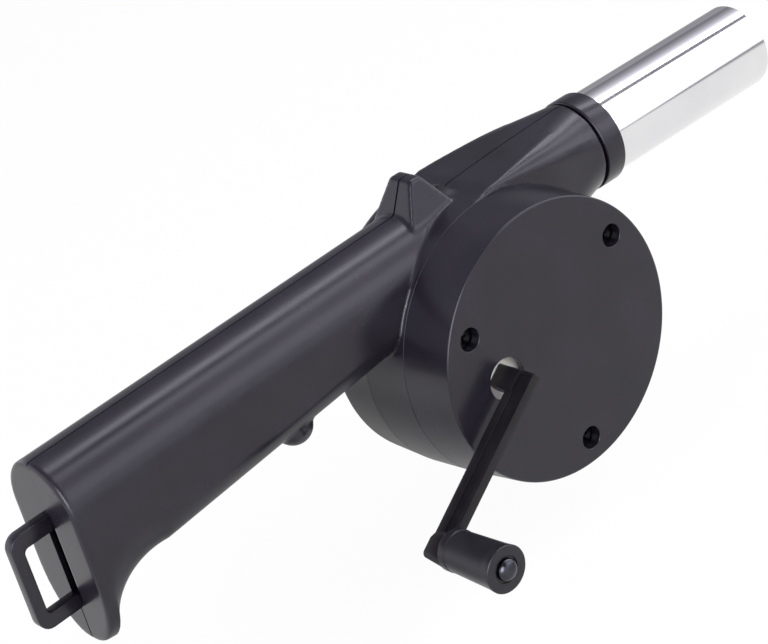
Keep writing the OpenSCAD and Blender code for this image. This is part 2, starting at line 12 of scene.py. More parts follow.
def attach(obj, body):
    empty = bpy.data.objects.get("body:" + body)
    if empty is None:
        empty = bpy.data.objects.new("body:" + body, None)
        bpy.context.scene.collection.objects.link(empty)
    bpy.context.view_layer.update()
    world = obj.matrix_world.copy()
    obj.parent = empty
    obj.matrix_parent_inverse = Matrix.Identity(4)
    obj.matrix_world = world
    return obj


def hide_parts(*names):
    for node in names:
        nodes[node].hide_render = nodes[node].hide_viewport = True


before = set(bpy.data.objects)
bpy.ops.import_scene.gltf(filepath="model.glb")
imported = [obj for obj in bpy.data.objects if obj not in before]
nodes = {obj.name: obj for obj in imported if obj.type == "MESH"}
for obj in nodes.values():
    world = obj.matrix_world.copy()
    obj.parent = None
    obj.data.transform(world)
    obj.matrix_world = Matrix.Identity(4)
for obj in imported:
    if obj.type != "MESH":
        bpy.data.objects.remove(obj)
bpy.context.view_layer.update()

# Dimensions, in millimetres. The shapes are drawn about the fan axis, as the part's source draws them:
# x towards the nozzle, y away from the crank, z up. The halves of the body meet at y = 0.

MOUTH_X, NOZZLE_Z = 125.0, 32.0
FAN_AXIS = Vector((-MOUTH_X, 0.0, -NOZZLE_Z))
WALL = 2.0

# Drum
DRUM_R, DRUM_DROP, SHELL_DEPTH = 43.6, 0.5, 17.0
DRAFT = 0.7  # how much each half of the drum narrows from the parting plane to its face
REAR_ROUND = 2.0
BORE_R, BUSH_BOSS_R = 3.02, 5.2
FRONT_BOSS_END, REAR_BOSS_START = -12.2, 12.5
DRIVE_POST_R, IDLER_POST_R = 3.2, 3.0
VENTS, VENT_START, VENT_END, VENT_HALF, VENT_FLOOR = 10, 9, 27, 1.8, 14

# Handle: u runs back from the fan axis
HANDLE_TOP, HANDLE_RISE, HANDLE_LEN, HANDLE_HALF = 44.9, math.tan(math.radians(2.3)), 152.5, 15.5
HANDLE_HEIGHT, HANDLE_TAPER = 27.95, 0.079
FLARE_U, FLARE_R, TIP_DROP = 126.7, 22.6, 18.6
CORNER, TIP_CORNER = 8, (14.5, 21.5)  # radii of the lower corners, and (across, up) at the butt
BUTT_ROUND = 1.2
LOOP_SLOT_Z, LOOP_SLOT_REACH, LOOP_SLOT_HALF, LOOP_SLOT_U = 8.6, 14.2, 1.95, 150

# Screws between the halves, as places (x, z)
LUG_SCREW, KEEL_SCREW, BUTT_SCREW = (-11.6, 48.4), (-77.1, 9.1), (-138.0, 20.0)
HEAD_HOLE_R, HEAD_SEAT, SCREW_POST_R = 3.1, 3.6, 5

# Duct
DUCT_START, DUCT_END, DUCT_END_R = -2, 50.5, 14.4
DUCT_HALF, DUCT_TOP, DUCT_BOTTOM, DUCT_CORNER = 16.8, 43.9, 14, 1.5
DUCT_CROWN, DUCT_LEAD, LEAD_END = 1.4, 1.1, 5
CORNER_DELAY, CORNER_POWER = 0.12, 1.25  # when the corners start to round, and how slowly they begin
PASSAGE_END, SPIGOT_START, SPIGOT_SEAT_R = 42, 41.5, 12.9

# Low ridges from the drum's edge along the duct, as ends (x, |y|, z)
CREASES = (((5, 16.6, 44.3), (36, 10, 45.4)), ((5, 16.6, 44.3), (46.8, 13.4, 38.6)))
CREASE_HEIGHT, CREASE_WIDTH = 0.12, 0.7

# Lug on top, and keel under the handle
LUG_TOP, LUG_HEIGHT, LUG_FOOT = 53.2, 13.2, 38
LUG_BACK, LUG_FRONT, LUG_HALF = -13.6, -9.5, 4.6
LUG_LEAN_X, LUG_LEAN_Y = 7.9, 5  # how far its sides lean out over its height
KEEL_R, KEEL_BALL, KEEL_REAR = 5.8, -8, 14.3

# Fillets where the forms of the body meet, and the rounding of its edges
HANDLE_FILLET, DUCT_FILLET, LUG_FILLET, KEEL_FILLET = 0.7, 1.2, 0.7, 1.0
DUCT_END_ROUND, LUG_END_ROUND, LUG_ROUND, KEEL_ROUND = 0.6, 0.6, 0.7, 0.8
HEAD_HOLE_ROUND, VENT_ROUND = 0.4, 0.3

# Gear cover. Distances are measured from the parting plane towards the crank.
COVER_FACE, COVER_BACK, COVER_ROOT_R, COVER_FACE_R, COVER_INSIDE_R = 35.0, 32.8, 43.2, 42.0, 40.0
COVER_SCREW_CIRCLE, COVER_SCREW_ANGLES = 34.4, (35, 151, 273.5)
RECESS_R, RECESS_FLOOR, CRANK_HOLE_R, CRANK_HOLE_FROM = 3.4, 29.8, 6.3, 31

# Tube and collar, from the fan axis along the nozzle
TUBE_START, TUBE_R, TUBE_BORE, TUBE_EDGE = 52.5, 13.5, 12.9, 0.22
COLLAR_START, COLLAR_END, COLLAR_R, TUBE_SEAT_R = 51.1, 58.5, 14.8, 13.52
SPIGOT_R, SPIGOT_BORE = 12.7, 11.5

# Crank
DRIVE_AXIS, IDLER_AXIS = (-21.4, -1.0), (-7.15, -13.186)
CRANK_LEN, CRANK_ANGLE = 50.5, math.radians(-144.5)
ARM_BACK, ARM_THICK = 37.6, 7.6
ELBOW_END, ELBOW_LEAN = 55.65, 0.9  # where the arm ends at its back, and how much further at its front
ELBOW_HALF, ELBOW_ROUND = 2.4, 1.6
ELBOW_CUTS = np.arange(54.1, 56.45, 0.2)
GRIP_START, GRIP_LEN, GRIP_SEAT, GRIP_BORE, HEAD_RECESS_R = 45.65, 22.0, 21.5, 1.66, 3.9
PIN_R, HEAD_R, HEAD_RISE, HEAD_RIM = 1.6, 3.3, 2.0, 0.6

NEAR_AXIS = 1e-5  # a turned profile ends here, and its points on the axis are then merged


def to_frame(point):
    """A point about the fan axis, in millimetres, as a point of the frame, in metres."""
    return (Vector(point) + FAN_AXIS) / 1000


def from_frame(point):
    """A point of the frame, in metres, as a point about the fan axis, in millimetres."""
    return point * 1000 - FAN_AXIS


# Fields: each is negative inside its form, and near the surface it is the distance from it in millimetres


def round_max(a, b, radius):
    """What is inside both fields, with the edge between them rounded."""
    return (np.minimum(np.maximum(a, b), -radius)
            + np.hypot(np.maximum(a + radius, 0), np.maximum(b + radius, 0)))


def round_min(a, b, radius):
    """What is inside either field, with a fillet where they meet."""
    return (np.maximum(np.minimum(a, b), radius)
            - np.hypot(np.maximum(radius - a, 0), np.maximum(radius - b, 0)))


def bar_field(x, y, z, place, radius, low=-400, high=400):
    """A round bar along Y at a place (x, z), between two values of y."""
    return np.maximum(np.hypot(x - place[0], z - place[1]) - radius, np.maximum(low - y, y - high))


def ease(x, start, end):
    """0 before start, 1 after end and a smooth rise between them."""
    t = np.clip((x - start) / (end - start), 0, 1)
    return t * t * (3 - 2 * t)


def handle_field(x, y, z):
    """The handle: a round top, flat sides, rounded lower corners and a hooked flare at the butt."""
    u, across = -x, np.abs(y)
    w = z - HANDLE_TOP + u * HANDLE_RISE
    grown = np.clip((u - FLARE_U) / (HANDLE_LEN - FLARE_U), 0, 1)
    past = np.clip(u - FLARE_U, 0, FLARE_R)
    drop = np.minimum(FLARE_R - np.sqrt(FLARE_R**2 - past**2), TIP_DROP)
    height = HANDLE_HEIGHT + HANDLE_TAPER * np.minimum(u, FLARE_U) + drop
    corner_w, corner_h = (CORNER + (tip - CORNER) * grown for tip in TIP_CORNER)
    top = np.hypot(across, w + HANDLE_HALF) - HANDLE_HALF
    out, down = across - HANDLE_HALF + corner_w, -w - height + corner_h
    out_share, down_share = np.maximum(out, 1e-6) / corner_w, np.maximum(down, 1e-6) / corner_h
    reach = np.hypot(out_share, down_share)
    slope = np.hypot(out_share / corner_w, down_share / corner_h) / reach
    flat = np.maximum(out - corner_w, down - corner_h)
    low = np.where((out > 0) & (down > 0), (reach - 1) / slope, flat)
    side = np.where(w > -HANDLE_HALF, top, low)
    return np.maximum(round_max(side, u - HANDLE_LEN, BUTT_ROUND), -u)


def drum_field(x, y, z):
    """The drum: each half narrows from the parting plane, as a moulding does. The rear edge is rounded."""
    narrowed = DRAFT * (np.minimum(np.abs(y) / SHELL_DEPTH, 1) - 0.5)
    return round_max(np.hypot(x, z + DRUM_DROP) - DRUM_R + narrowed, y - SHELL_DEPTH, REAR_ROUND)


def crease_height(x, y, z, start, end):
    """How high a crease stands at a point: a soft ridge along the straight line between two points."""
    run = np.array(end, float) - start
    along = ((x - start[0]) * run[0] + (y - start[1]) * run[1] + (z - start[2]) * run[2]) / (run @ run)
    along = np.clip(along, 0, 1)
    off = [at - start[i] - along * run[i] for i, at in enumerate((x, y, z))]
    return CREASE_HEIGHT * np.exp(-(off[0]**2 + off[1]**2 + off[2]**2) / CREASE_WIDTH**2)


def duct_field(x, y, z):
    """The duct: an upright rounded rectangle at the drum that turns into a circle at the collar."""
    t, along = x / DUCT_END, np.clip((x - DUCT_START) / (DUCT_END - DUCT_START), 0, 1)
    half = DUCT_HALF + (DUCT_END_R - DUCT_HALF) * ease(x, DUCT_END / 2, DUCT_END)
    top = DUCT_TOP + (NOZZLE_Z + DUCT_END_R - DUCT_TOP) * t + DUCT_CROWN * t * (1 - t)
    top = top - DUCT_LEAD * (1 - ease(x, DUCT_START, LEAD_END))
    bottom = DUCT_BOTTOM + (NOZZLE_Z - DUCT_END_R - DUCT_BOTTOM) * t
    grown = np.maximum(0, along * (1 + CORNER_DELAY) - CORNER_DELAY) ** CORNER_POWER
    corner = DUCT_CORNER + (DUCT_END_R - DUCT_CORNER) * grown
    corner = np.minimum(corner, np.minimum(half, (top - bottom) / 2))
    out, up = np.abs(y) - half + corner, np.abs(z - (top + bottom) / 2) - (top - bottom) / 2 + corner
    ring = np.minimum(np.maximum(out, up), 0) + np.hypot(np.maximum(out, 0), np.maximum(up, 0)) - corner
    for start, end in CREASES:
        ring = ring - crease_height(x, np.abs(y), z, start, end)
    return np.maximum(round_max(ring, x - DUCT_END, DUCT_END_ROUND), DUCT_START - x)


def lug_side(out, up, lean):
    """A side of the lug, from how far a point lies out and up from the side's top edge."""
    return (out * LUG_HEIGHT + up * lean) / math.hypot(LUG_HEIGHT, lean)


def lug_field(x, y, z):
    """The low pyramid on top that holds a screw."""
    up = z - LUG_TOP
    back, front = lug_side(LUG_BACK - x, up, LUG_LEAN_X), lug_side(x - LUG_FRONT, up, LUG_LEAN_X)
    sides = lug_side(np.abs(y) - LUG_HALF, up, LUG_LEAN_Y)
    body = round_max(round_max(back, front, LUG_END_ROUND), sides, LUG_ROUND)
    return np.maximum(round_max(body, up, LUG_ROUND), LUG_FOOT - z)


def keel_field(x, y, z):
    """The round keel under the handle, with a ball end towards the crank."""
    past = np.maximum(KEEL_BALL - y, 0)
    round_bar = np.sqrt((x - KEEL_SCREW[0]) ** 2 + (z - KEEL_SCREW[1]) ** 2 + past**2) - KEEL_R
    return round_max(round_bar, y - KEEL_REAR, KEEL_ROUND)


def vent_field(x, y, z):
    """The slots of the inlet, which run out from the hub in the rear wall."""
    turn = 2 * np.pi / VENTS
    angle, radius = (np.arctan2(z, x) + turn / 2) % turn - turn / 2, np.hypot(x, z)
    along, across = radius * np.cos(angle), radius * np.sin(angle)
    slot = np.hypot(along - np.clip(along, VENT_START, VENT_END), across) - VENT_HALF
    return np.maximum(slot, VENT_FLOOR - y)


def hollow_field(x, y, z, handle, duct):
    """The room inside the body, less the posts and bosses that stand in it."""
    chamber = np.maximum(np.hypot(x, z + DRUM_DROP) - DRUM_R + WALL, np.abs(y) - SHELL_DEPTH + WALL)
    passage = np.maximum(duct + WALL, x - PASSAGE_END)
    seat = np.maximum(np.hypot(y, z - NOZZLE_Z) - SPIGOT_SEAT_R, SPIGOT_START - x)
    in_handle = np.maximum(handle + WALL, np.maximum(DRUM_R - np.hypot(x, z + DRUM_DROP), x))
    inside = np.minimum(np.minimum(chamber, passage), np.minimum(seat, in_handle))
    for place in (KEEL_SCREW, BUTT_SCREW):
        inside = np.maximum(inside, -bar_field(x, y, z, place, SCREW_POST_R))
    for low, high in ((-SHELL_DEPTH, FRONT_BOSS_END), (REAR_BOSS_START, SHELL_DEPTH)):
        inside = np.maximum(inside, -bar_field(x, y, z, (0, 0), BUSH_BOSS_R, low, high))
    for place, radius in ((DRIVE_AXIS, DRIVE_POST_R), (IDLER_AXIS, IDLER_POST_R)):
        inside = np.maximum(inside, -bar_field(x, y, z, place, radius, -SHELL_DEPTH, FRONT_BOSS_END))
    return inside


FRONT_CUT = -SHELL_DEPTH - 1.5  # the field runs on past the front rim, where half_shell cuts it flat


def shell_field(x, y, z):
    """Both half shells as one hollow body."""
    handle, duct = handle_field(x, y, z), duct_field(x, y, z)
    body = round_min(drum_field(x, y, z), handle, HANDLE_FILLET)
    body = round_min(body, duct, DUCT_FILLET)
    body = round_min(body, lug_field(x, y, z), LUG_FILLET)
    body = round_min(body, keel_field(x, y, z), KEEL_FILLET)
    body = np.maximum(body, FRONT_CUT - y)
    body = np.maximum(body, -hollow_field(x, y, z, handle, duct))
    loop_slot = np.maximum(np.abs(z - LOOP_SLOT_Z) - LOOP_SLOT_REACH, x + LOOP_SLOT_U)
    body = np.maximum(body, -np.maximum(np.abs(y) - LOOP_SLOT_HALF, loop_slot))
    body = np.maximum(body, -bar_field(x, y, z, (0, 0), BORE_R))
    for place in (LUG_SCREW, KEEL_SCREW, BUTT_SCREW):
        body = round_max(body, -bar_field(x, y, z, place, HEAD_HOLE_R, HEAD_SEAT), HEAD_HOLE_ROUND)
    return round_max(body, -vent_field(x, y, z), VENT_ROUND)


# Meshes


def field_and_slope(field, points, h=0.02):
    """The field and its gradient at some points."""
    value = field(*points.T)
    ahead = [field(*(points + h * e).T) - field(*(points - h * e).T) for e in np.eye(3)]
    return value, np.stack(ahead, 1) / (2 * h)


def mesh_of_field(field, low, high, step):
    """Points and quads of the surface where the field is zero, with every point moved onto that surface."""
    axes = [np.arange(a, b + step, step) for a, b in zip(low, high)]
    values = field(*np.meshgrid(*axes, indexing="ij", sparse=True))
    inside = values < 0

    # One point in each cell that the surface crosses, in the middle of the crossings of its edges
    corners = [(i, j, k) for i in (0, 1) for j in (0, 1) for k in (0, 1)]
    size = [n - 1 for n in values.shape]
    count = sum(inside[i:i + size[0], j:j + size[1], k:k + size[2]].astype(np.int8) for i, j, k in corners)
    cells = np.argwhere((count > 0) & (count < len(corners)))
    number = np.full(size, -1)
    number[tuple(cells.T)] = np.arange(len(cells))
    total, hits = np.zeros((len(cells), 3)), np.zeros((len(cells), 1))
    for a in corners:
        for axis in range(3):
            if a[axis]:
                continue
            b = tuple(c + (i == axis) for i, c in enumerate(a))
            at_a, at_b = values[tuple((cells + a).T)], values[tuple((cells + b).T)]
            crossed = (at_a < 0) != (at_b < 0)
            t = np.where(crossed, at_a / np.where(crossed, at_a - at_b, 1), 0)
            total += (cells + a + t[:, None] * (np.array(b) - a)) * crossed[:, None]
            hits += crossed[:, None]
    points = np.array(low) + total / hits * step

    # One quad round each grid edge that the surface crosses
    quads = []
    for axis in range(3):
        one, two = [v for v in range(3) if v != axis]
        start, end = [slice(None)] * 3, [slice(None)] * 3
        start[axis], end[axis] = slice(None, -1), slice(1, None)
        crossed = np.argwhere(inside[tuple(start)] != inside[tuple(end)])
        crossed = crossed[(crossed[:, one] > 0) & (crossed[:, two] > 0)]
        back_one, back_two = np.eye(3, dtype=int)[one], np.eye(3, dtype=int)[two]
        around = (back_one + back_two, back_two, np.zeros(3, int), back_one)
        ring = np.stack([number[tuple((crossed - back).T)] for back in around], 1)
        turned = inside[tuple(crossed.T)] == (axis == 1)
        ring[turned] = ring[turned][:, ::-1]
        quads.append(ring)

    for _ in range(4):
        value, slope = field_and_slope(field, points)
        move = -value[:, None] * slope / np.maximum((slope**2).sum(1), 0.2)[:, None]
        length = np.linalg.norm(move, axis=1, keepdims=True)
        points += move * np.minimum(1, 0.35 * step / np.maximum(length, 1e-9))
    return points, np.concatenate(quads)


def mesh_from(bm, name):
    """Ends a bmesh as a mesh."""
    mesh = bpy.data.meshes.new(name)
    bm.to_mesh(mesh)
    bm.free()
    return mesh


def piece(name, mesh, body, replaced, sharp=35):
    """Puts a mesh in the scene as a piece that rides on a body and stands for a CAD node."""
    made = bpy.data.objects.new(name, mesh)
    bpy.context.scene.collection.objects.link(made)
    mesh.shade_smooth()
    mesh.set_sharp_from_angle(angle=math.radians(sharp))
    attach(made, body)
    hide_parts(replaced)
    return made


def lathe(name, profile, axis, at, segments=160):
    """A closed profile of (distance along an axis, radius) turned round it; at is where distance 0 lies."""
    bm = bmesh.new()
    stand = Vector(axis).to_track_quat("Z", "Y").to_matrix()
    rings = []
    for i in range(segments):
        a = 2 * math.pi * i / segments
        points = [Vector((r * math.cos(a), r * math.sin(a), distance)) for distance, r in profile]
        rings.append([bm.verts.new(to_frame(stand @ point + Vector(at))) for point in points])
    for i, ring in enumerate(rings):
        beside = rings[(i + 1) % segments]
        for j in range(len(profile)):
            k = (j + 1) % len(profile)
            bm.faces.new((ring[j], ring[k], beside[k], beside[j]))
    bmesh.ops.remove_doubles(bm, verts=bm.verts, dist=1e-6)
    bmesh.ops.delete(bm, geom=[e for e in bm.edges if e.is_wire], context="EDGES")
    bmesh.ops.recalc_face_normals(bm, faces=bm.faces)
    return mesh_from(bm, name)


def rounded(profile, steps=5):
    """A profile whose corners (distance, radius, fillet) are rounded to their fillets."""
    made = []
    for i, (x, y, fillet) in enumerate(profile):
        if not fillet:
            made.append((x, y))
            continue
        here = Vector((x, y))
        before, after = Vector(profile[i - 1][:2]), Vector(profile[(i + 1) % len(profile)][:2])
        a, b = (before - here).normalized(), (after - here).normalized()
        half = a.angle(b) / 2
        reach = fillet / math.tan(half)
        centre = here + (a + b).normalized() * (fillet / math.sin(half))
        start, end = here + a * reach - centre, here + b * reach - centre
        for k in range(steps + 1):
            v = start.lerp(end, k / steps).normalized() * fillet + centre
            made.append((v.x, v.y))
    return made


def moulded_copy(name, node, radius, body, reshape=None):
    """A node's own solid with its edges rounded; reshape may then move its points."""
    bm = bmesh.new()
    bm.from_mesh(nodes[node].data)
    bmesh.ops.remove_doubles(bm, verts=bm.verts, dist=2e-6)
    bmesh.ops.dissolve_limit(bm, angle_limit=math.radians(1), verts=bm.verts, edges=bm.edges)
    edges = [e for e in bm.edges if e.is_manifold and e.calc_face_angle() > math.radians(28)]
    bmesh.ops.bevel(bm, geom=edges, offset=radius / 1000, segments=3, profile=0.5, affect="EDGES",
                    clamp_overlap=True)
    if reshape:
        reshape(bm)
    return piece(name, mesh_from(bm, name), body, node, sharp=50)


# Half shells

GRID = 0.75
GRID_LOW, GRID_HIGH = (-155.1, -19.4, -45.6), (53.2, 18.9, 55.4)  # a box with room round the whole body
PARTING = (0.42, 0.24, 0.02)  # the groove's edge, its floor and the joint itself, from the parting plane
GROOVE_TOP, GROOVE_BUTT, HAIRLINE = 0.6, 0.35, 0.08
BUTT_X = -140
RIM_EDGE = ((16.6, 0), (16.8, 0.06), (16.93, 0.18), (SHELL_DEPTH, 0.35))  # the front rim: (depth, how far in)


def cut_across(bm, y, way, last):
    """Cuts the mesh at a height y and gives the new edges; the last cut removes what lies on the way side."""
    cut = bmesh.ops.bisect_plane(bm, geom=bm.verts[:] + bm.edges[:] + bm.faces[:], plane_co=(0, y, 0),
                                 plane_no=(0, way, 0), clear_outer=last)
    return [g for g in cut["geom_cut"] if isinstance(g, bmesh.types.BMEdge)]


def points_of(edges):
    """The points of some edges, each once and in the edges' order."""
    return list(dict.fromkeys(v for e in edges for v in e.verts))


def close_across(bm, edges):
    """Closes a cut with the triangles whose middle has an odd number of the cut's edges ahead along x."""
    verts = points_of(edges)
    number = {v: i for i, v in enumerate(verts)}
    flat = [Vector((v.co.x, v.co.z)) for v in verts]
    pairs = [(number[e.verts[0]], number[e.verts[1]]) for e in edges]
    corners, _, triangles, origins, _, _ = delaunay_2d_cdt(flat, pairs, [], 0, 1e-5)
    start, end = np.array([flat[i] for i, _ in pairs]), np.array([flat[i] for _, i in pairs])
    rise = end[:, 1] - start[:, 1]
    lean = (end[:, 0] - start[:, 0]) / np.where(rise == 0, 1, rise)
    for triangle in triangles:
        x, z = sum((corners[i] for i in triangle), Vector((0, 0))) / 3
        met = ((start[:, 1] > z) != (end[:, 1] > z)) & (start[:, 0] + (z - start[:, 1]) * lean > x)
        known = [verts[origins[i][0]] for i in triangle if origins[i]]
        if met.sum() % 2 and len(set(known)) == 3:
            bm.faces.new(known)


def move_in(verts, depth):
    """Moves points of the shell's surface into the plastic, within their plane of y, by a depth or a rule."""
    slope = field_and_slope(shell_field, np.array([v.co for v in verts]))[1]
    slope[:, 1] = 0
    slope /= np.maximum(np.linalg.norm(slope, axis=1, keepdims=True), 1e-6)
    for v, outward in zip(verts, slope):
        v.co -= Vector(outward) * (depth(v.co, outward) if callable(depth) else depth)


def groove_depth(at, outward):
    """The joint shows on top and low on the butt. High on the butt it is closed, elsewhere a hairline."""
    if outward[2] > 0.5:
        return GROOVE_TOP
    if at.x > BUTT_X:
        return HAIRLINE
    return GROOVE_BUTT if at.z < 0 else 0


def half_shell(name, points, quads, side):
    """The half of the hollow body on the side where y has this sign, with a fine groove along the joint."""
    mesh = bpy.data.meshes.new(name)
    mesh.from_pydata(points.tolist(), [], quads.tolist())
    bm = bmesh.new()
    bm.from_mesh(mesh)
    bpy.data.meshes.remove(mesh)
    _, groove_floor, joint = [cut_across(bm, y * side, -side, y == PARTING[-1]) for y in PARTING]
    close_across(bm, joint)
    for row in (groove_floor, joint):
        move_in(points_of(row), groove_depth)
    if side < 0:
        rows = [cut_across(bm, -depth, -1, depth == SHELL_DEPTH) for depth, _ in RIM_EDGE]
        close_across(bm, rows[-1])
        for row, (_, inward) in zip(rows, RIM_EDGE):
            move_in(points_of(row), inward)
    bmesh.ops.recalc_face_normals(bm, faces=bm.faces)
    for v in bm.verts:
        v.co = to_frame(v.co)
    return mesh_from(bm, name)


shell_points, shell_quads = mesh_of_field(shell_field, GRID_LOW, GRID_HIGH, GRID)
front_shell = piece("front_shell_moulding", half_shell("front_shell_moulding", shell_points, shell_quads, -1),
                    "housing", "front_shell")
rear_shell = piece("rear_shell_moulding", half_shell("rear_shell_moulding", shell_points, shell_quads, 1),
                   "housing", "rear_shell")

# Gear cover

TO_CRANK = (0, -1, 0)


def drafted_cup():
    """The cover as a cup whose root is centred on the drum's axis and whose face is centred on the fan's."""
    cup = lathe("gear_cover_moulding", rounded([
        (SHELL_DEPTH, COVER_INSIDE_R, 0), (SHELL_DEPTH, COVER_ROOT_R, 0), (COVER_FACE, COVER_FACE_R, 0.7),
        (COVER_FACE, NEAR_AXIS, 0), (COVER_BACK, NEAR_AXIS, 0), (COVER_BACK, COVER_INSIDE_R, 0.5)]),
        TO_CRANK, (0, 0, 0), 256)
    for v in cup.vertices:
        x, y, z = from_frame(v.co)
        if math.hypot(x, z) > COVER_INSIDE_R + 1:
            root_share = max(0, COVER_FACE + y) / (COVER_FACE - SHELL_DEPTH)
            v.co.z -= DRUM_DROP * root_share / 1000
    return cup


def turned_tool(profile, place):
    """A turned solid along the crank's axis at a place (x, z), to be joined to the cover or cut out of it."""
    made = bpy.data.objects.new("tool", lathe("tool", profile, TO_CRANK, (place[0], 0, place[1]), 96))
    bpy.context.scene.collection.objects.link(made)
    return made


def mouth(radius, start, fillet=0.35):
    """The profile of a hole from a depth out through the cover's face, flared at the face."""
    flare = [(COVER_FACE - fillet + fillet * math.sin(b), radius + fillet * (1 - math.cos(b)))
             for b in np.linspace(0, math.pi / 2, 5)]
    end = COVER_FACE + 1
    return [(start, NEAR_AXIS), (start, radius), *flare, (end, radius + fillet), (end, NEAR_AXIS)]


def take_modified_mesh(target):
    """Gives a piece the mesh that its modifiers make, and drops the modifiers."""
    mesh = bpy.data.meshes.new_from_object(target.evaluated_get(bpy.context.evaluated_depsgraph_get()))
    target.modifiers.clear()
    old, name = target.data, target.data.name
    target.data = mesh
    bpy.data.meshes.remove(old)
    mesh.name = name


def combine(target, tool, operation):
    """Joins a tool to the target or cuts it out, and removes the tool."""
    change = target.modifiers.new("combine", "BOOLEAN")
    change.operation, change.solver, change.object = operation, "EXACT", tool
    take_modified_mesh(target)
    bm = bmesh.new()
    bm.from_mesh(target.data)
    bmesh.ops.remove_doubles(bm, verts=bm.verts, dist=2e-6)
    bm.to_mesh(target.data)
    bm.free()
    bpy.data.objects.remove(tool)


# A screw tower in the cover, with a slim root that widens under the recess, and the hole down its middle
TOWER = [(22, NEAR_AXIS), (22, 3.3), (28.6, 3.3), (28.6, 4.8), (33.5, 4.8), (33.5, NEAR_AXIS)]
SCREW_HOLE = [(20, NEAR_AXIS), (20, 1.4), (30, 1.4), (30, NEAR_AXIS)]

gear_cover = piece("gear_cover_moulding", drafted_cup(), "housing", "gear_cover", sharp=30)
screw_places = [(COVER_SCREW_CIRCLE * math.cos(a), COVER_SCREW_CIRCLE * math.sin(a))
                for a in np.radians(COVER_SCREW_ANGLES)]
for place in screw_places:
    combine(gear_cover, turned_tool(TOWER, place), "UNION")
for place in screw_places:
    combine(gear_cover, turned_tool(mouth(RECESS_R, RECESS_FLOOR), place), "DIFFERENCE")
    combine(gear_cover, turned_tool(SCREW_HOLE, place), "DIFFERENCE")
combine(gear_cover, turned_tool(mouth(CRANK_HOLE_R, CRANK_HOLE_FROM), DRIVE_AXIS), "DIFFERENCE")
gear_cover.data.shade_smooth()
gear_cover.data.set_sharp_from_angle(angle=math.radians(28))
flat_faces = gear_cover.modifiers.new("flat_faces", "WEIGHTED_NORMAL")
flat_faces.weight, flat_faces.keep_sharp = 100, True
take_modified_mesh(gear_cover)

# Nozzle and hanging loop

NOZZLE_WAY, NOZZLE_FROM = (1, 0, 0), (0, 0, NOZZLE_Z)

tube = piece("nozzle_tube_polished", lathe("nozzle_tube_polished", rounded([
    (TUBE_START, TUBE_BORE, 0), (MOUTH_X, TUBE_BORE, TUBE_EDGE), (MOUTH_X, TUBE_R, TUBE_EDGE),
    (TUBE_START, TUBE_R, 0)]), NOZZLE_WAY, NOZZLE_FROM, 256), "housing", "nozzle_tube")
collar = piece("nozzle_collar_moulding", lathe("nozzle_collar_moulding", rounded([
    (SPIGOT_START, SPIGOT_BORE, 0.3), (TUBE_START, SPIGOT_BORE, 0), (TUBE_START, TUBE_SEAT_R, 0),
    (COLLAR_END, TUBE_SEAT_R, 0.2), (COLLAR_END, COLLAR_R, 0.5), (COLLAR_START, COLLAR_R, 0.6),
    (COLLAR_START, SPIGOT_R, 0), (SPIGOT_START, SPIGOT_R, 0.3)]),
    NOZZLE_WAY, NOZZLE_FROM, 256), "housing", "nozzle_collar")
loop = moulded_copy("hanging_loop_moulding", "hanging_loop", 0.45, "housing")

# Crank

drive_point = Vector((DRIVE_AXIS[0], 0, DRIVE_AXIS[1]))
along_arm = Vector((math.cos(CRANK_ANGLE), 0, math.sin(CRANK_ANGLE)))
across_arm = Vector((-along_arm.z, 0, along_arm.x))
grip_point = drive_point + along_arm * CRANK_LEN


def round_elbow(bm):
    """Rounds the arm's end past the grip by narrowing it; its solid ends square, further out at the front."""
    for reach in ELBOW_CUTS:
        bmesh.ops.bisect_plane(bm, geom=bm.verts[:] + bm.edges[:] + bm.faces[:],
                               plane_co=to_frame(drive_point + along_arm * reach), plane_no=along_arm)
    for v in bm.verts:
        at = from_frame(v.co) - drive_point
        end = ELBOW_END + ELBOW_LEAN * (-ARM_BACK - at.y) / ARM_THICK
        into = ELBOW_ROUND - (end - at.dot(along_arm))
        if into > 0:
            lost = ELBOW_ROUND - math.sqrt(max(ELBOW_ROUND**2 - into**2, 0))
            v.co -= across_arm * (at.dot(across_arm) * lost / ELBOW_HALF / 1000)


arm = moulded_copy("crank_arm_moulding", "crank_arm", 0.22, "crank", reshape=round_elbow)
grip = piece("crank_grip_moulding", lathe("crank_grip_moulding", rounded([
    (0, GRIP_BORE, 0), (0, 5.9, 0.2), (0.4, 6.3, 0.3), (2.6, 6.3, 0.25), (3.0, 6.1, 0.4), (18.8, 6.7, 3.0),
    (21.7, 7.0, 0.3), (GRIP_LEN, 6.75, 0.15), (GRIP_LEN, HEAD_RECESS_R, 0.2), (GRIP_SEAT, HEAD_RECESS_R, 0),
    (GRIP_SEAT, GRIP_BORE, 0)]), TO_CRANK, (grip_point.x, -GRIP_START, grip_point.z), 128),
    "grip", "crank_grip")
head_start = GRIP_START + GRIP_SEAT
dome_start = head_start + HEAD_RIM
dome = [(dome_start + HEAD_RISE * math.sin(a), HEAD_R * math.cos(a))
        for a in np.linspace(0, math.pi / 2 - 0.01, 12)]
grip_pin = piece("grip_pin_domed", lathe("grip_pin_domed", [
    (ARM_BACK, NEAR_AXIS), (ARM_BACK, PIN_R), (head_start, PIN_R), (head_start, HEAD_R - 0.2),
    (head_start + 0.2, HEAD_R), *dome, (dome_start + HEAD_RISE, NEAR_AXIS)],
    TO_CRANK, grip_point, 96), "crank", "grip_pin")

# Materials


def linear(hex_colour):
    """An sRGB hex colour as linear numbers."""
    parts = [int(hex_colour[i:i + 2], 16) / 255 for i in (1, 3, 5)]
    return [c / 12.92 if c <= 0.04045 else ((c + 0.055) / 1.055) ** 2.4 for c in parts] + [1.0]


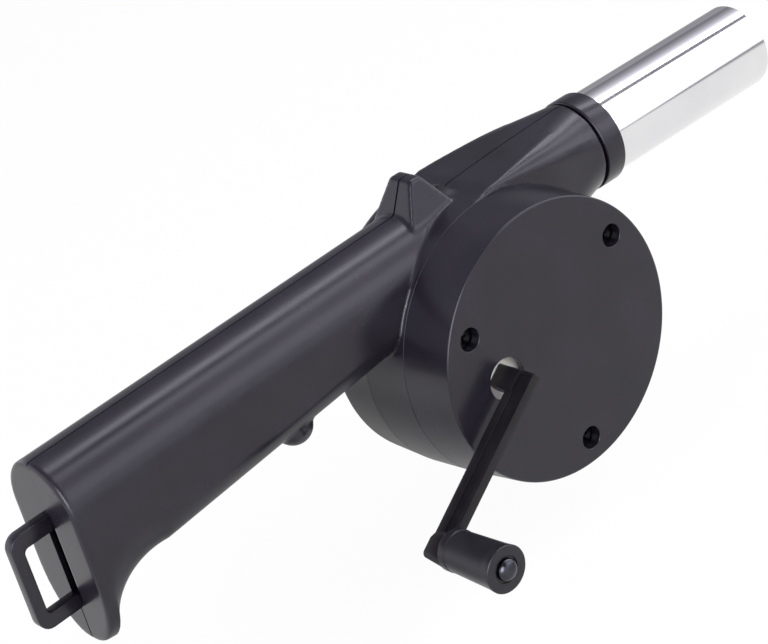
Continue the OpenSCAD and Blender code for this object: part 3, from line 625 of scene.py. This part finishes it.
def add(tree, kind, settings=None, values=None, links=None):
    """Adds a node with its properties, its sockets' values and the sockets that feed it."""
    node = tree.nodes.new(kind)
    for key, value in (settings or {}).items():
        setattr(node, key, value)
    for key, value in (values or {}).items():
        node.inputs[key].default_value = value
    for key, source in (links or {}).items():
        tree.links.new(source, node.inputs[key])
    return node


def empty_tree(owner):
    """The node tree of a material or world, with nothing in it."""
    owner.use_nodes = True
    owner.node_tree.nodes.clear()
    return owner.node_tree


def surface(name, dark, light, rough, cloud_mm, grain_mm, grain_height_mm, stretch=(1, 1, 1), **constant):
    """A material whose colour and roughness drift in slow clouds, with a fine grain in its bump."""
    material = bpy.data.materials.new(name)
    tree = empty_tree(material)
    place = add(tree, "ShaderNodeTexCoord").outputs["Object"]
    clouds = add(tree, "ShaderNodeTexNoise", values={"Scale": 1000 / cloud_mm, "Detail": 4.0},
                 links={"Vector": place})
    drawn = add(tree, "ShaderNodeMapping", values={"Scale": stretch}, links={"Vector": place})
    grain = add(tree, "ShaderNodeTexNoise", values={"Scale": 1000 / grain_mm, "Detail": 3.0},
                links={"Vector": drawn.outputs["Vector"]})
    tint = add(tree, "ShaderNodeValToRGB", links={"Fac": clouds.outputs["Fac"]})
    for stop, position, colour in zip(tint.color_ramp.elements, (0.35, 0.65), (dark, light)):
        stop.position, stop.color = position, linear(colour)
    dullness = add(tree, "ShaderNodeMapRange", links={"Value": clouds.outputs["Fac"]},
                   values={"From Min": 0.3, "From Max": 0.7, "To Min": rough[0], "To Max": rough[1]})
    bump = add(tree, "ShaderNodeBump", values={"Distance": grain_height_mm / 1000, "Strength": 1.0},
               links={"Height": grain.outputs["Fac"]})
    shader = add(tree, "ShaderNodeBsdfPrincipled", values=constant,
                 links={"Base Color": tint.outputs["Color"], "Roughness": dullness.outputs["Result"],
                        "Normal": bump.outputs["Normal"]})
    add(tree, "ShaderNodeOutputMaterial", links={"Surface": shader.outputs["BSDF"]})
    return material


# ABS from a lightly eroded mould: satin, with a grain too fine to see apart, so it is drawn at 0.5 mm.
black_abs = surface("moulded_black_abs", "#1a171e", "#201d25", (0.22, 0.28), 16, 0.5, 0.006,
                    **{"IOR": 1.53, "Specular IOR Level": 0.38})
# Polypropylene from a plain mould: the same black, with a broader and waxier sheen than the body's.
black_pp = surface("moulded_black_polypropylene", "#19171c", "#201e23", (0.3, 0.38), 9, 0.8, 0.006,
                   **{"IOR": 1.49, "Specular IOR Level": 0.4})
# Polypropylene from an eroded mould: the arm is the dullest black on the blower, and the darkest, a darkness
# that is painted shade.
shaded_dull_pp = surface("eroded_black_polypropylene_with_painted_shade", "#121013", "#19161a", (0.36, 0.44), 7, 0.5, 0.008,
                  **{"IOR": 1.49, "Specular IOR Level": 0.28})
# Acetal: a waxy white that lets a little light in.
white_pom = surface("moulded_white_acetal", "#dedbd2", "#e8e6de", (0.28, 0.36), 6, 0.5, 0.004,
                    **{"IOR": 1.48, "Subsurface Weight": 0.15, "Subsurface Scale": 0.002})
# Stainless sheet rolled into a tube and buffed round it: near mirror, with faint hoops.
polished_stainless = surface("buffed_stainless_steel", "#e2e2e4", "#e9e9ea", (0.08, 0.11), 25, 1.2, 0.002,
                             stretch=(1, 0.05, 0.05), Metallic=1.0)
# Zinc-plated steel: a grey, slightly dull plate.
zinc_steel = surface("zinc_plated_steel", "#9c9ea3", "#b0b2b6", (0.26, 0.38), 3, 0.4, 0.004, Metallic=1.0)
# Dark steel with sharp glints, for the grip's pin and the cover's screws; on the screws, deep in their
# recesses, the dark colour is painted shade.
dark_steel = surface("dark_steel_with_painted_recess_shade", "#3c3d42", "#484a4f", (0.16, 0.22), 3, 0.5, 0.004, Metallic=1.0)
# Sintered bronze: brown, dull and porous.
bronze = surface("sintered_bronze", "#7d5f3c", "#94744b", (0.42, 0.55), 2, 0.25, 0.02, Metallic=1.0)
# Brass cut on a lathe: yellow, with a soft shine.
brass = surface("cut_brass", "#c6a35c", "#d2b26c", (0.22, 0.30), 3, 0.3, 0.004, Metallic=1.0)

FINISHES = {
    black_abs: (front_shell, rear_shell, gear_cover, collar, loop, "front_shell", "rear_shell", "gear_cover",
                "nozzle_collar", "hanging_loop"),
    black_pp: (grip, "crank_grip", "impeller"),
    shaded_dull_pp: (arm, "crank_arm"),
    white_pom: ("drive_gear", "idler_gear"),
    polished_stainless: (tube, "nozzle_tube"),
    zinc_steel: ("shell_screws", "drive_pin", "idler_pin", "idler_washers", "drive_washer", "grip_washer",
                 "fan_shaft", "impeller_nut", "shaft_clips"),
    dark_steel: (grip_pin, "grip_pin", "cover_screws"),
    bronze: ("shaft_bushes",),
    brass: ("fan_pinion",),
}
for material, wearers in FINISHES.items():
    for wearer in wearers:
        mesh = (nodes[wearer] if isinstance(wearer, str) else wearer).data
        mesh.materials.clear()
        mesh.materials.append(material)

# Camera, placed so that the round edges of the cover, tube and collar lie as in the photograph

scene = bpy.context.scene
scene.view_settings.view_transform = "Standard"

camera_data = bpy.data.cameras.new("camera")
camera_data.lens, camera_data.sensor_width = 117.19, 36.0
camera = bpy.data.objects.new("camera", camera_data)
camera.matrix_world = Matrix((
    (0.7309, 0.4702, -0.4947, -0.5141),
    (-0.6297, 0.1850, -0.7545, -0.5435),
    (-0.2633, 0.8630, 0.4313, 0.2951),
    (0, 0, 0, 1)))
scene.collection.objects.link(camera)
scene.camera = camera

# Floor: white paper, in metres. Gloss sees it darker near the object, where shade is painted into its glow,
# and far off to the nozzle's side.

FLOOR_Z, FLOOR_HALF = -0.0935, 6  # just below the grip when the crank points down
# Shade painted into the paper's glow for gloss, where the object would shade it: (middle, half lengths, what
# is left of the light).
SHADES = (((-0.14, 0.08), (0.14, 0.11), 0.57),
          ((-0.11, 0.16), (0.075, 0.15), 0.4),
          ((-0.25, 0), (0.06, 0.06), 0.6))
FAR_WAY, FAR_START, FAR_END = (1, 0.6, 0), 0.15, 0.45
NEAR_LIGHT, FAR_LIGHT = 0.96, 0.35


def smooth_range(tree, value, start, end, low, high):
    """A socket that goes smoothly from low, where the value is start, to high, where it is end."""
    made = add(tree, "ShaderNodeMapRange", {"interpolation_type": "SMOOTHSTEP"},
               {"From Min": start, "From Max": end, "To Min": low, "To Max": high}, {"Value": value})
    return made.outputs["Result"]


def light_for_gloss(tree):
    """How much light the paper gives a glossy reflection, over its places."""
    place = add(tree, "ShaderNodeTexCoord").outputs["Object"]
    away = add(tree, "ShaderNodeVectorMath", {"operation": "DOT_PRODUCT"}, {1: FAR_WAY}, {0: place})
    light = smooth_range(tree, away.outputs["Value"], FAR_START, FAR_END, NEAR_LIGHT, FAR_LIGHT)
    for (x, y), (reach_x, reach_y), darkest in SHADES:
        local = add(tree, "ShaderNodeMapping", links={"Vector": place}, values={
            "Location": (-x / reach_x, -y / reach_y, 0), "Scale": (1 / reach_x, 1 / reach_y, 0)})
        away = add(tree, "ShaderNodeVectorMath", {"operation": "LENGTH"}, links={0: local.outputs["Vector"]})
        left = smooth_range(tree, away.outputs["Value"], 0.5, 1.15, darkest, 1.0)
        light = add(tree, "ShaderNodeMath", {"operation": "MULTIPLY"}, links={0: light, 1: left}).outputs[0]
    return light


def white_paper():
    """Paper that glows white for the camera and glass, glows by place for gloss, and is matt for the rest."""
    material = bpy.data.materials.new("white_paper")
    tree = empty_tree(material)
    path = add(tree, "ShaderNodeLightPath")
    gloss = path.outputs["Is Glossy Ray"]
    seen = add(tree, "ShaderNodeMath", {"operation": "MAXIMUM"},
               links={0: path.outputs["Is Camera Ray"], 1: path.outputs["Is Transmission Ray"]})
    seen = add(tree, "ShaderNodeMath", {"operation": "MULTIPLY"}, {1: 0.95}, {0: seen.outputs[0]})
    glow_share = add(tree, "ShaderNodeMath", {"operation": "MAXIMUM"}, links={0: seen.outputs[0], 1: gloss})
    strength = add(tree, "ShaderNodeMapRange", values={"To Min": 1.0},
                   links={"Value": gloss, "To Max": light_for_gloss(tree)})
    matt = add(tree, "ShaderNodeBsdfDiffuse", values={"Color": linear("#f0f0f2")})
    glow = add(tree, "ShaderNodeEmission", values={"Color": (1, 1, 1, 1)},
               links={"Strength": strength.outputs["Result"]})
    mixed = add(tree, "ShaderNodeMixShader",
                links={"Fac": glow_share.outputs[0], 1: matt.outputs[0], 2: glow.outputs[0]})
    add(tree, "ShaderNodeOutputMaterial", links={"Surface": mixed.outputs[0]})
    return material


floor_mesh = bpy.data.meshes.new("floor")
floor_corners = [(x * FLOOR_HALF, y * FLOOR_HALF, FLOOR_Z) for x, y in ((-1, -1), (1, -1), (1, 1), (-1, 1))]
floor_mesh.from_pydata(floor_corners, [], [(0, 1, 2, 3)])
floor_mesh.materials.append(white_paper())
floor = bpy.data.objects.new("floor", floor_mesh)
scene.collection.objects.link(floor)

# World: white for the camera, an even dim light on the object, and a studio that only gloss sees

# Gloss shows the studio as bands over the angle round the nozzle's direction, from the backdrop (0 degrees)
# over the ceiling (90) to the camera's side (180). Each entry is (degrees, brightness).
BANDS = (
    (0, 0.36), (10, 0.36), (21, 0.42), (30, 0.24), (38, 0.3), (50, 0.5), (58, 0.75), (66, 1.1),  # backdrop
    (73, 2.1), (78, 6.8), (85, 6.8), (87.5, 0.3), (97, 0.3),  # the ceiling's main lamp, and the gap beside it
    (100, 3.0), (102, 4.2), (108, 4.2), (116, 1.5), (132, 1.5),  # its second lamp
    (140, 3.0), (155, 3.0), (162, 1.7), (180, 1.5))  # the camera's side
BRIGHTEST = max(brightness for _, brightness in BANDS)
LAMP_WHITE, WALL_WHITE, DIM_WHITE = "#f2f0fb", "#f3f1fc", "#dfe0ea"
BUTT_LOW, BUTT_HIGH = 1.5, 0.4  # what gloss sees towards the butt, low down and high up
KEY_WAY = Vector((-0.66, -0.64, 0.38)).normalized()
KEY_STRENGTH, DIM_STRENGTH = 8.0, 0.45


def studio_for_gloss(tree):
    """The shader of what gloss sees: bands round the nozzle's direction, a wall at the butt and one lamp."""
    direction = add(tree, "ShaderNodeTexCoord").outputs["Generated"]
    toward = add(tree, "ShaderNodeSeparateXYZ", links={0: direction}).outputs
    angle = add(tree, "ShaderNodeMath", {"operation": "ARCTAN2"}, links={0: toward["Z"], 1: toward["Y"]})
    share = add(tree, "ShaderNodeMath", {"operation": "DIVIDE"}, {1: math.pi}, {0: angle.outputs[0]})
    bands = add(tree, "ShaderNodeValToRGB", links={"Fac": share.outputs[0]})
    stops = bands.color_ramp.elements
    while len(stops) < len(BANDS):
        stops.new(0.5)
    for stop, (degrees, brightness) in zip(stops, BANDS):
        stop.position = degrees / 180
        stop.color = (*[brightness / BRIGHTEST * c for c in linear(LAMP_WHITE)[:3]], 1)
    banded = add(tree, "ShaderNodeBackground", values={"Strength": BRIGHTEST},
                 links={"Color": bands.outputs["Color"]})
    wall = add(tree, "ShaderNodeBackground", values={"Color": linear(WALL_WHITE)},
               links={"Strength": smooth_range(tree, toward["Z"], 0.3, 0.6, BUTT_LOW, BUTT_HIGH)})
    key = add(tree, "ShaderNodeBackground", values={"Color": linear(LAMP_WHITE), "Strength": KEY_STRENGTH})
    near_key = add(tree, "ShaderNodeVectorMath", {"operation": "DOT_PRODUCT"}, {1: KEY_WAY}, {0: direction})
    at_butt = smooth_range(tree, toward["X"], 0.42, 0.05, 0.0, 1.0)
    in_key = smooth_range(tree, near_key.outputs["Value"], 0.9, 0.96, 0.0, 1.0)
    room = add(tree, "ShaderNodeMixShader", links={"Fac": at_butt, 1: banded.outputs[0], 2: wall.outputs[0]})
    lit = add(tree, "ShaderNodeMixShader", links={"Fac": in_key, 1: room.outputs[0], 2: key.outputs[0]})
    return lit.outputs[0]


world = bpy.data.worlds.new("studio")
scene.world = world
world_tree = empty_tree(world)
world_path = add(world_tree, "ShaderNodeLightPath").outputs
dim = add(world_tree, "ShaderNodeBackground", values={"Color": linear(DIM_WHITE), "Strength": DIM_STRENGTH})
white = add(world_tree, "ShaderNodeBackground", values={"Color": (1, 1, 1, 1), "Strength": 1.0})
lighting = add(world_tree, "ShaderNodeMixShader",
               links={"Fac": world_path["Is Glossy Ray"], 1: dim.outputs[0], 2: studio_for_gloss(world_tree)})
shown = add(world_tree, "ShaderNodeMixShader",
            links={"Fac": world_path["Is Camera Ray"], 1: lighting.outputs[0], 2: white.outputs[0]})
add(world_tree, "ShaderNodeOutputWorld", links={"Surface": shown.outputs[0]})

# Lamps, in metres: (name, direction from the object, distance, size, watts, colour). Gloss doesn't see them.

LIT_POINT = Vector((-0.125, 0, -0.03))
SOFTBOXES = (
    ("top_softbox", (0.5, -0.42, 0.75), 1.2, (1.0, 0.35), 12.5, "#f2f0ff"),
    ("left_softbox", (-0.9, -0.1, 0.5), 1.4, (0.7, 0.9), 15, "#f4f3ff"),
    ("front_softbox", (0.2, -1.0, 0.35), 1.6, (0.9, 0.6), 9, "#ffffff"),
)
for name, direction, distance, size, watts, colour in SOFTBOXES:
    lamp = bpy.data.lights.new(name, "AREA")
    lamp.shape, lamp.size, lamp.size_y = "RECTANGLE", size[0], size[1]
    lamp.energy, lamp.color = watts, linear(colour)[:3]
    softbox = bpy.data.objects.new(name, lamp)
    softbox.visible_glossy = False
    away = Vector(direction).normalized()
    softbox.location = LIT_POINT + away * distance
    softbox.rotation_mode = "QUATERNION"
    softbox.rotation_quaternion = away.to_track_quat("Z", "Y")
    scene.collection.objects.link(softbox)
